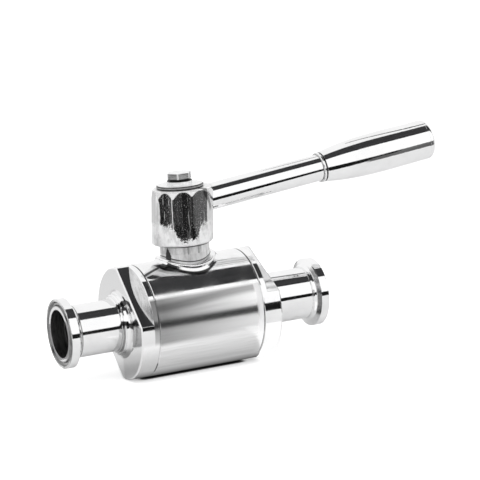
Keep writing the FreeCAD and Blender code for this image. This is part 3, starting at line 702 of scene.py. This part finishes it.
def dark_seam(tree, vector):
    """Polish and dirt left in the joint between body and cap, and a painted highlight beside it.
    """
    x, y, z = split(tree, vector)
    past = maths(tree, "SUBTRACT", maths(tree, "ABSOLUTE", x), SEAM_AT)
    low_left = product(tree, ramp(tree, z, *SEAM_LEFT_START), fade(tree, z, *SEAM_LEFT_END),
                       fade(tree, x, *SEAM_LEFT_SIDE))
    low_right = maths(tree, "ADD", ramp(tree, z, *SEAM_RIGHT_FAINT),
                      ramp(tree, z, *SEAM_RIGHT_DARK))
    low_right = product(tree, low_right, fade(tree, z, *SEAM_RIGHT_END),
                        ramp(tree, x, *SEAM_RIGHT_SIDE), fade(tree, y, *FRONT_SIDE))
    reach = maths(tree, "MAXIMUM", ramp(tree, z, *SEAM_TOP), low_left)
    reach = maths(tree, "MAXIMUM", reach, low_right)
    line = product(tree, fade(tree, maths(tree, "ABSOLUTE", past), *SEAM_EDGE), reach)
    side = product(tree, past, maths(tree, "SIGN", x))
    # Painted highlight: a pale, rough strip along the joint's outer side, high on the front.
    seam_highlight = product(
        tree, fade(tree, distance(tree, side, SEAM_HIGHLIGHT_AT), *SEAM_HIGHLIGHT_EDGE),
        ramp(tree, z, *SEAM_HIGHLIGHT_START), fade(tree, z, *SEAM_HIGHLIGHT_END), fade(tree, y, *SEAM_HIGHLIGHT_FRONT))
    return [mark(line, tone=0.06, rough=0.25), mark(seam_highlight, tone=0.98, rough=0.50, metal=0.10)]


def dull_cap(tree, vector):
    """Turned finish on the sloped shoulders, the end face and the joint."""
    x, y, z = split(tree, vector)
    radius = across(tree, y, z)
    end = maths(tree, "ABSOLUTE", x)
    slope = maths(tree, "ADD", radius, product(tree, end, 2.0))
    sloped = product(tree, fade(tree, distance(tree, slope, SHOULDER_SUM), *SHOULDER_EDGE),
                     ramp(tree, end, *SHOULDER_START))
    faced = product(tree, ramp(tree, end, *CAP_FACE_EDGE), ramp(tree, radius, *CAP_FACE_INNER))
    texture = grained(tree, vector, (700.0, 90.0, 90.0), 0.22)["Tone"]
    return painted_bore_shade(tree, vector) + [
        mark(sloped, tone=product(tree, texture, 0.72), rough=0.26),
        mark(faced, tone=0.80, rough=0.10),
    ] + dark_seam(tree, vector)


def left_cap(tree, vector):
    """Some of the drum's satin finish beside the seam, and painted reflections around the collar.
    """
    x, y, z = split(tree, vector)
    radius = across(tree, y, z)
    angle = front_angle(tree, y, z)
    rubbed = product(
        tree, ramp(tree, angle, *RUBBED_START), fade(tree, angle, *RUBBED_END),
        ramp(tree, x, *RUBBED_ALONG), ramp(tree, radius, *RUBBED_RIM))
    # Painted reflection: the satin darkens towards its top.
    rubbed_tone = ramp(tree, angle, *RUBBED_SHADE, 0.52, 0.20)
    ragged = grained(tree, vector, (600.0, 260.0, 260.0))["Patch"]
    uneven = maths(tree, "SUBTRACT", ragged, 0.5)
    # Painted reflections: grey patches on the collar and the face around it, dark lines above and
    # below.
    outside = product(tree, fade(tree, y, *FRONT_SIDE), fade(tree, x, *OUTSIDE_ALONG),
                      ramp(tree, radius, *OUTSIDE_TUBE))
    collar = product(tree, outside, fade(tree, radius, *COLLAR_RIM))
    face = product(tree, outside, ramp(tree, radius, *FACE_INNER))
    upper = maths(tree, "ADD", distance(tree, angle, UPPER_AT), product(tree, uneven, 0.30))
    upper = product(tree, collar, fade(tree, upper, *UPPER_EDGE))
    dip = fade(tree, distance(tree, radius, COLLAR_RADIUS), *LOWER_DIP)
    lower = distance(tree, z, maths(tree, "SUBTRACT", LOWER_AT, dip))
    lower = maths(tree, "ADD", lower, product(tree, uneven, 0.004))
    lower = product(tree, outside, fade(tree, lower, *LOWER_EDGE), fade(tree, radius, *LOWER_END))
    slant = maths(tree, "ADD", z, product(tree, y, SLANT))
    block = product(tree, face, ramp(tree, slant, *BLOCK_BOTTOM), fade(tree, z, *BLOCK_TOP))
    low_face = product(tree, face, fade(tree, slant, *LOW_FACE_TOP))
    step = product(tree, collar, fade(tree, x, *STEP_BACK), fade(tree, z, *STEP_TOP))
    under = product(tree, collar, fade(tree, z, *UNDER_TOP))
    return dull_cap(tree, vector) + [
        mark(rubbed, tone=rubbed_tone, rough=0.20),
        mark(low_face, tone=0.62, rough=0.10),
        mark(block, tone=0.46, rough=0.12),
        mark(step, tone=0.48, rough=0.10),
        mark(under, tone=0.40, rough=0.12),
        mark(upper, tone=0.07, rough=0.15),
        mark(lower, tone=0.07, rough=0.15),
    ]


dress(polished_steel("left_cap_steel", left_cap), "end_cap_left")
dress(polished_steel("right_cap_steel", dull_cap), "end_cap_right")

# Drum. Turned steel, mirror polished on top; the front is a satin panel, rougher to the left.
# Painted reflections darken the panel to the left and towards its top and lay a faint dark
# band across it, and a painted highlight brightens its right-hand end. The pad's root holds a
# painted dark reflection with a trail to its left, and the neck's foot is plain machined, with
# painted shade in its corner.
PANEL_MIDDLE = math.radians(32.5)
PANEL_TOP = (PANEL_MIDDLE - 0.06, PANEL_MIDDLE + 0.01)
PANEL_BOTTOM = (-1.75, -1.65)
PANEL_RIGHT = (0.0365 - 0.0015, 0.0365 + 0.0018)
PANEL_LEFT = (-0.0411 - 0.0003, -0.0411 + 0.0003)
PANEL_SHADE = (-0.036, 0.035)
PANEL_RISE = (0.0, math.radians(10))
PANEL_BRIGHT_BELOW = (math.radians(-20), math.radians(-13))
PANEL_ROUGH = (-0.042, 0.034, 0.21, 0.17)
END_HIGHLIGHT_RISE = (math.radians(-26), math.radians(-17))
BAND_COURSE = (-0.040, 0.034, math.radians(21.5), math.radians(27.5))
BAND_EDGE = (0.02, 0.13)
NECK_RADIUS = 0.01805
FOOT_INNER = (NECK_RADIUS + 0.0002, NECK_RADIUS + 0.0004)
FOOT_START = (0.0400, 0.0404)
FOOT_AT = 0.0442
FOOT_CORNER = (FOOT_AT + 0.0003, FOOT_AT + 0.0006)
PAD_RIM = 0.0220
ROOT_INNER = (PAD_RIM + 0.0009, PAD_RIM + 0.0013)
ROOT_OUTER = (PAD_RIM + 0.0032, PAD_RIM + 0.0043)
ROOT_WIDER_LEFT = (-0.026, -0.015, 0.0044)
ROOT_NARROWER_RIGHT = (0.002, 0.015, 0.0, -0.0018)
ROOT_LEFT = (-0.0180, -0.0150)
ROOT_AHEAD = (-0.0090, -0.0070)
ROOT_HEIGHT = (0.026, 0.029)
ROOT_SKEW = 0.458
ROOT_BACK = (-0.010, -0.007)
TRAIL_ACROSS = (0.4245, -0.906)  # the direction across the trail, seen from above
TRAIL_AT = 0.0002
TRAIL_EDGE = (0.0008, 0.0013, 0.95)
TRAIL_END = (-0.0265, -0.0255)
NECK_REFLECTION_ANGLE = math.radians(-156.0)
REFLECTION_HEIGHTS = (0.0440, 0.0525)
REFLECTION_WIDTHS = (0.17, 0.03)
REFLECTION_EDGE = (0.0, 0.04)
REFLECTION_RAGGED = 0.20
SATIN_METAL = 0.62


def neck_dark_reflection(tree, vector):
    """A painted dark reflection, ragged, on the neck's left side, wider towards its foot."""
    x, y, z = split(tree, vector)
    ragged = grained(tree, vector, (420.0, 420.0, 200.0))["Patch"]
    uneven = product(tree, maths(tree, "SUBTRACT", ragged, 0.5), REFLECTION_RAGGED)
    away = distance(tree, maths(tree, "ARCTAN2", y, x), NECK_REFLECTION_ANGLE)
    reach = ramp(tree, z, *REFLECTION_HEIGHTS, *REFLECTION_WIDTHS)
    inside = maths(tree, "SUBTRACT", reach, maths(tree, "ADD", away, uneven))
    return ramp(tree, inside, *REFLECTION_EDGE), uneven


def satin_panel(tree, vector):
    """Satin front panel with painted reflections, and a painted highlight on the end beside it."""
    x, y, z = split(tree, vector)
    angle = front_angle(tree, y, z)
    below = product(tree, fade(tree, angle, *PANEL_TOP), ramp(tree, angle, *PANEL_BOTTOM))
    before = fade(tree, x, *PANEL_RIGHT)
    panel = product(tree, below, before, ramp(tree, x, *PANEL_LEFT))
    end = product(tree, below, maths(tree, "SUBTRACT", 1.0, before))
    # Painted reflections: darker to the left and towards the top, lighter low down.
    upper = ramp(tree, x, *PANEL_SHADE, 0.25, 0.82, "LINEAR")
    middle = ramp(tree, x, *PANEL_SHADE, 0.39, 0.82, "LINEAR")
    side = blend(tree, ramp(tree, angle, *PANEL_RISE), middle, upper)
    side = blend(tree, ramp(tree, angle, *PANEL_BRIGHT_BELOW), 0.88, side)
    # Painted reflection: a faint dark band across the panel.
    off_band = distance(tree, angle, ramp(tree, x, *BAND_COURSE))
    streaks = grained(tree, vector, (14.0, 260.0, 260.0), 0.10)["Tone"]
    panel_tone = product(tree, side, ramp(tree, off_band, *BAND_EDGE, 0.50, 1.0), streaks)
    return [
        mark(panel, tone=panel_tone, rough=ramp(tree, x, *PANEL_ROUGH)),
        # Painted highlight on the panel's right-hand end.
        mark(end, tone=ramp(tree, angle, *END_HIGHLIGHT_RISE, 0.88, 0.99),
             rough=ramp(tree, angle, *END_HIGHLIGHT_RISE, 0.20, 0.60)),
    ]


def painted_root_reflection(tree, vector):
    """Painted dark reflection in the pad's root fillet, and the thin dark line trailing from it.
    """
    x, y, z = split(tree, vector)
    from_stem = across(tree, x, y)
    wider = maths(tree, "ADD", fade(tree, x, *ROOT_WIDER_LEFT),
                  ramp(tree, x, *ROOT_NARROWER_RIGHT))
    outer = fade(tree, maths(tree, "SUBTRACT", from_stem, wider), *ROOT_OUTER)
    shown = maths(tree, "MAXIMUM", ramp(tree, x, *ROOT_LEFT), fade(tree, y, *ROOT_AHEAD))
    high = ramp(tree, z, *ROOT_HEIGHT)
    skewed = maths(tree, "ADD", y, product(tree, x, ROOT_SKEW))
    # Painted dark reflection: the ring shows on the front side only.
    ring = product(tree, ramp(tree, from_stem, *ROOT_INNER), outer, shown, high,
                   fade(tree, skewed, *ROOT_BACK))
    line = maths(tree, "ADD", product(tree, x, TRAIL_ACROSS[0]), product(tree, y, TRAIL_ACROSS[1]))
    trail = product(tree, fade(tree, distance(tree, line, TRAIL_AT), *TRAIL_EDGE),
                    fade(tree, x, *TRAIL_END), high)
    return mark(maths(tree, "MAXIMUM", ring, trail), tone=0.06, rough=0.12)


def drum_marks(tree, vector):
    """Satin panel, pad's root, the neck's foot with painted shade in its corner, and the joints.
    """
    x, y, z = split(tree, vector)
    foot = product(tree, fade(tree, across(tree, x, y), *FOOT_INNER), ramp(tree, z, *FOOT_START))
    mottle = grained(tree, vector, (420.0, 420.0, 60.0), 0.3)["Tone"]
    # The neck's painted dark reflection reaches onto its foot.
    dark_reflection = product(tree, foot, neck_dark_reflection(tree, vector)[0])
    # Painted shade in the corner where the neck's foot meets the pad.
    painted_corner = product(tree, foot, fade(tree, across(tree, y, z), *FOOT_CORNER))
    return satin_panel(tree, vector) + [
        mark(foot, tone=product(tree, mottle, 0.86), rough=0.36, metal=SATIN_METAL),
        mark(dark_reflection, tone=0.05, rough=0.36, metal=SATIN_METAL),
        mark(painted_corner, tone=0.06, rough=0.30, metal=SATIN_METAL),
        painted_root_reflection(tree, vector),
    ] + dark_seam(tree, vector)


dress(polished_steel("drum_steel", drum_marks, low=0.05, high=0.17, depth=0.015),
      "valve_body")

# Neck, washers and bolt. Plain machined steel, light and softly mottled, with a fine grain; the
# neck has a ragged painted dark reflection low on its left side and a painted shadow under the
# hub, painted shade darkens the washer's rim and the bolt's sides, and painted shadow fills the
# gap under the bolt's head.
NECK_LINES = (math.radians(-105.5), math.radians(-80.0))
NECK_LINE_EDGE = (0.010, 0.060, 0.8)
UNDER_HUB = (0.0508, 0.0514)
PLATE_LOW = 0.0923
PLATE_HIGH = 0.0951
PLATE_RIM = (0.0164, 0.0167)
PLATE_LOWER_EDGE = (PLATE_LOW + 0.0009, PLATE_LOW + 0.0012)
PLATE_UPPER_EDGE = (PLATE_HIGH - 0.0008, PLATE_HIGH - 0.0006)
SPRING_TOP = 0.0977
SPRING_GAP = (SPRING_TOP - 0.0005, SPRING_TOP - 0.0003)
HEAD_LOW = 0.0987
HEAD_HIGH = 0.1038
HEAD_GAP = (HEAD_LOW + 0.0004, HEAD_LOW + 0.0007)
HEAD_SIDE = (HEAD_HIGH - 0.0009, HEAD_HIGH - 0.0006)
HEAD_CORNERS = (0.0088, 0.0090)
HEAD_LINE_AT = HEAD_HIGH - 0.0011
HEAD_LINE = (0.0001, 0.0004)
MACHINED_BUMP = (0.25, 0.0002)


def machined_steel(name, tone, rough, stretch, contrast, marks, radius=EDGE_SOFTNESS):
    """Light machined steel; marks gives masks and tones of darker or brighter parts."""
    material, tree, output = new_material(name)
    vector = own_vector(tree)
    texture = grained(tree, vector, stretch, contrast)
    broad = grained(tree, vector, (130.0, 130.0, 90.0), contrast)
    shade = product(tree, texture["Tone"], broad["Tone"], tone)
    roughness = maths(tree, "ADD", rough, product(tree, broad["Patch"], 0.12))
    for mask, mark_tone in marks(tree, vector):
        shade = blend(tree, mask, shade, mark_tone)
    normal = bump(tree, texture["Patch"], *MACHINED_BUMP, soft_edges(tree, radius))
    steel(tree, output, shade, roughness, normal, SATIN_METAL)
    return material


def neck_marks(tree, vector):
    """The painted dark reflection, faint upright lines and a painted shadow under the hub."""
    x, y, z = split(tree, vector)
    angle = maths(tree, "ARCTAN2", y, x)
    dark_reflection, uneven = neck_dark_reflection(tree, vector)
    marks = [(dark_reflection, 0.05)]
    for line_angle in NECK_LINES:
        away = maths(tree, "ADD", distance(tree, angle, line_angle), product(tree, uneven, 0.6))
        marks.append((fade(tree, away, *NECK_LINE_EDGE), 0.30))
    # Painted shadow: a dark strip at the top of the neck, under the hub.
    return marks + [(ramp(tree, z, *UNDER_HUB), 0.10)]


def washer_marks(tree, vector):
    """Painted shade on the plate washer's rim, painted shadow at its lower edge, a dark upper
    line.
    """
    x, y, z = split(tree, vector)
    rim = ramp(tree, across(tree, x, y), *PLATE_RIM)
    lower = product(tree, rim, fade(tree, z, *PLATE_LOWER_EDGE))
    upper = product(tree, rim, ramp(tree, z, *PLATE_UPPER_EDGE))
    streak = grained(tree, vector, (260.0, 260.0, 1800.0), 0.5)["Tone"]
    # Painted shade on the rim, and painted shadow along its lower edge.
    return [(rim, product(tree, streak, 0.42)), (lower, 0.02), (upper, 0.05)]


def spring_marks(tree, vector):
    """The spring washer's upper side is darkened as painted shadow under the bolt's head."""
    return [(ramp(tree, split(tree, vector)[2], *SPRING_GAP), 0.02)]


def bolt_marks(tree, vector):
    """Hexagon sides with tool marks and painted shade, under a bright face, over a painted shadow.
    """
    x, y, z = split(tree, vector)
    side = fade(tree, z, *HEAD_SIDE)
    painted_corner = product(tree, side, ramp(tree, across(tree, x, y), *HEAD_CORNERS))
    edge = product(tree, side, fade(tree, distance(tree, z, HEAD_LINE_AT), *HEAD_LINE))
    streak = grained(tree, vector, (160.0, 160.0, 2600.0), 0.7)["Tone"]
    # Painted shade on the sides, painted highlights on the corners, painted shadow in the gap
    # below.
    return [(side, product(tree, streak, 0.55)), (edge, 0.12), (painted_corner, 0.95),
            (fade(tree, z, *HEAD_GAP), 0.02)]


dress(machined_steel("neck_steel", tone=0.93, rough=0.30, stretch=(420.0, 420.0, 60.0),
                     contrast=0.30, marks=neck_marks),
      "stem_neck", "stem", "gland_nut", "gland_follower", "stop_pin")
dress(machined_steel("plate_washer_steel", tone=0.99, rough=0.34, stretch=(500.0, 500.0, 900.0),
                     contrast=0.08, marks=washer_marks, radius=0.0002), "plate_washer")
dress(machined_steel("spring_washer_steel", tone=0.99, rough=0.40, stretch=(500.0, 500.0, 900.0),
                     contrast=0.06, marks=spring_marks, radius=0.0002), "spring_washer")
dress(machined_steel("bolt_steel", tone=0.99, rough=0.30, stretch=(350.0, 350.0, 1400.0),
                     contrast=0.10, marks=bolt_marks, radius=0.00015), "hub_bolt")

# Hub. Ground and buffed on its flats, with upright grinding lines, and worn to a ragged edge
# lower down, where the light blasted skirt begins; the crown is plain machined. One corner
# keeps the light skirt finish as a painted highlight, and painted shade darkens a band by the
# boss.
HUB_FACING = math.radians(-104.0)
HUB_SIDES = (0.20, 0.62)
POLISH_HEIGHTS = (0.0570, 0.0570 + 0.0110)
POLISH_EDGE = (-0.0006, 0.0008)
HUB_LEFT_COURSE = (0.082, 0.091, math.radians(-161.0), math.radians(-169.0))
HUB_LEFT_EDGE = (-0.02, 0.03)
CORNER_HIGHLIGHT = math.radians(-131.5)
CORNER_HIGHLIGHT_EDGE = (0.005, 0.014)
CROWN_EDGE = (0.0915, 0.0922)
HAIR_LIMITS = (0.505, 0.76)
SPOT_LIMITS = (0.57, 0.68)
BOSS_BAND_COURSE = (0.076, 0.091, math.radians(-44.0), math.radians(-61.0))
BOSS_BAND_EDGE = (0.07, 0.12)
BOSS_BAND_START = (0.074, 0.078)
SPECKLE_STRETCH = (1500.0, 1500.0, 1100.0)
HUB_EDGE_SOFTNESS = 0.0007
HUB_BUMP = (0.20, 0.0002)


def hub_polish(tree, vector, angle, y, z):
    """What of the hub is buffed: the flats above a ragged edge."""
    low = ramp(tree, distance(tree, angle, HUB_FACING), *HUB_SIDES, *POLISH_HEIGHTS)
    ragged = grained(tree, vector, (300.0, 300.0, 200.0))["Patch"]
    speckle = grained(tree, vector, SPECKLE_STRETCH)["Patch"]
    uneven = product(tree, maths(tree, "SUBTRACT", ragged, 0.5), 0.010)
    dots = product(tree, maths(tree, "SUBTRACT", speckle, 0.5), 0.014)
    height = maths(tree, "SUBTRACT", z, maths(tree, "ADD", low, uneven))
    height = maths(tree, "SUBTRACT", height, dots)
    left = maths(tree, "ADD", ramp(tree, z, *HUB_LEFT_COURSE), product(tree, uneven, 12.0))
    past_left = ramp(tree, maths(tree, "SUBTRACT", angle, left), *HUB_LEFT_EDGE)
    past_left = maths(tree, "MAXIMUM", past_left, ramp(tree, y, *FRONT_SIDE))
    return product(tree, past_left, ramp(tree, height, *POLISH_EDGE))


material, tree, output = new_material("hub_steel")
vector = own_vector(tree)
x, y, z = split(tree, vector)
angle = maths(tree, "ARCTAN2", y, x)
# Painted highlight: one corner of the flats keeps the light skirt finish.
off_corner = distance(tree, angle, CORNER_HIGHLIGHT)
mask = product(tree, hub_polish(tree, vector, angle, y, z),
               ramp(tree, off_corner, *CORNER_HIGHLIGHT_EDGE), fade(tree, z, *CROWN_EDGE))
lines = grained(tree, vector, (900.0, 900.0, 22.0))["Patch"]
hair = ramp(tree, lines, *HAIR_LIMITS)
spots = ramp(tree, grained(tree, vector, SPECKLE_STRETCH)["Patch"], *SPOT_LIMITS)
mottle = grained(tree, vector, (130.0, 130.0, 70.0), 0.34)["Tone"]
ground_rough = blend(tree, maths(tree, "MAXIMUM", hair, spots), 0.09, 0.38)
ground_tone = blend(tree, hair, 0.70, 0.95)
tone = blend(tree, mask, product(tree, mottle, 0.97), ground_tone)
# Painted shade: a darker band on the flats beside the boss.
off_band = distance(tree, angle, ramp(tree, z, *BOSS_BAND_COURSE))
boss_shade = product(tree, fade(tree, off_band, *BOSS_BAND_EDGE), ramp(tree, z, *BOSS_BAND_START))
tone = blend(tree, boss_shade, tone, product(tree, ground_tone, 0.30))
steel(tree, output, tone, blend(tree, mask, 0.42, ground_rough),
      bump(tree, lines, *HUB_BUMP, soft_edges(tree, HUB_EDGE_SOFTNESS)),
      blend(tree, mask, 0.45, 1.0))
dress(material, "handle_hub")

# Seats, seals and packing. White fluoroplastic rings, turned and pressed in place, with a
# slightly cloudy, waxy surface; all of them sit inside the valve.
PLASTIC_SCALE = 70.0
PLASTIC_ROUGH = (0.38, 0.52)
PLASTIC_WHITE = (0.86, 0.86, 0.84, 1)
PLASTIC_CLOUD = (0.80, 0.80, 0.77, 1)

material, tree, output = new_material("white_plastic")
soft = tree.nodes.new("ShaderNodeBsdfPrincipled")
low, high = PLASTIC_ROUGH
cloudy = use_group(tree, buffing, own_vector(tree), Scale=PLASTIC_SCALE, Low=low, High=high)
colour = blend(tree, cloudy["Haze"], PLASTIC_WHITE, PLASTIC_CLOUD, "RGBA")
tree.links.new(colour, soft.inputs["Base Color"])
tree.links.new(cloudy["Roughness"], soft.inputs["Roughness"])
tree.links.new(soft.outputs[0], output.inputs["Surface"])
dress(material, "ball_seat_left", "ball_seat_right", "body_seal_left", "body_seal_right",
      "thrust_washer", "packing_ring_lower", "packing_ring_middle", "packing_ring_upper")
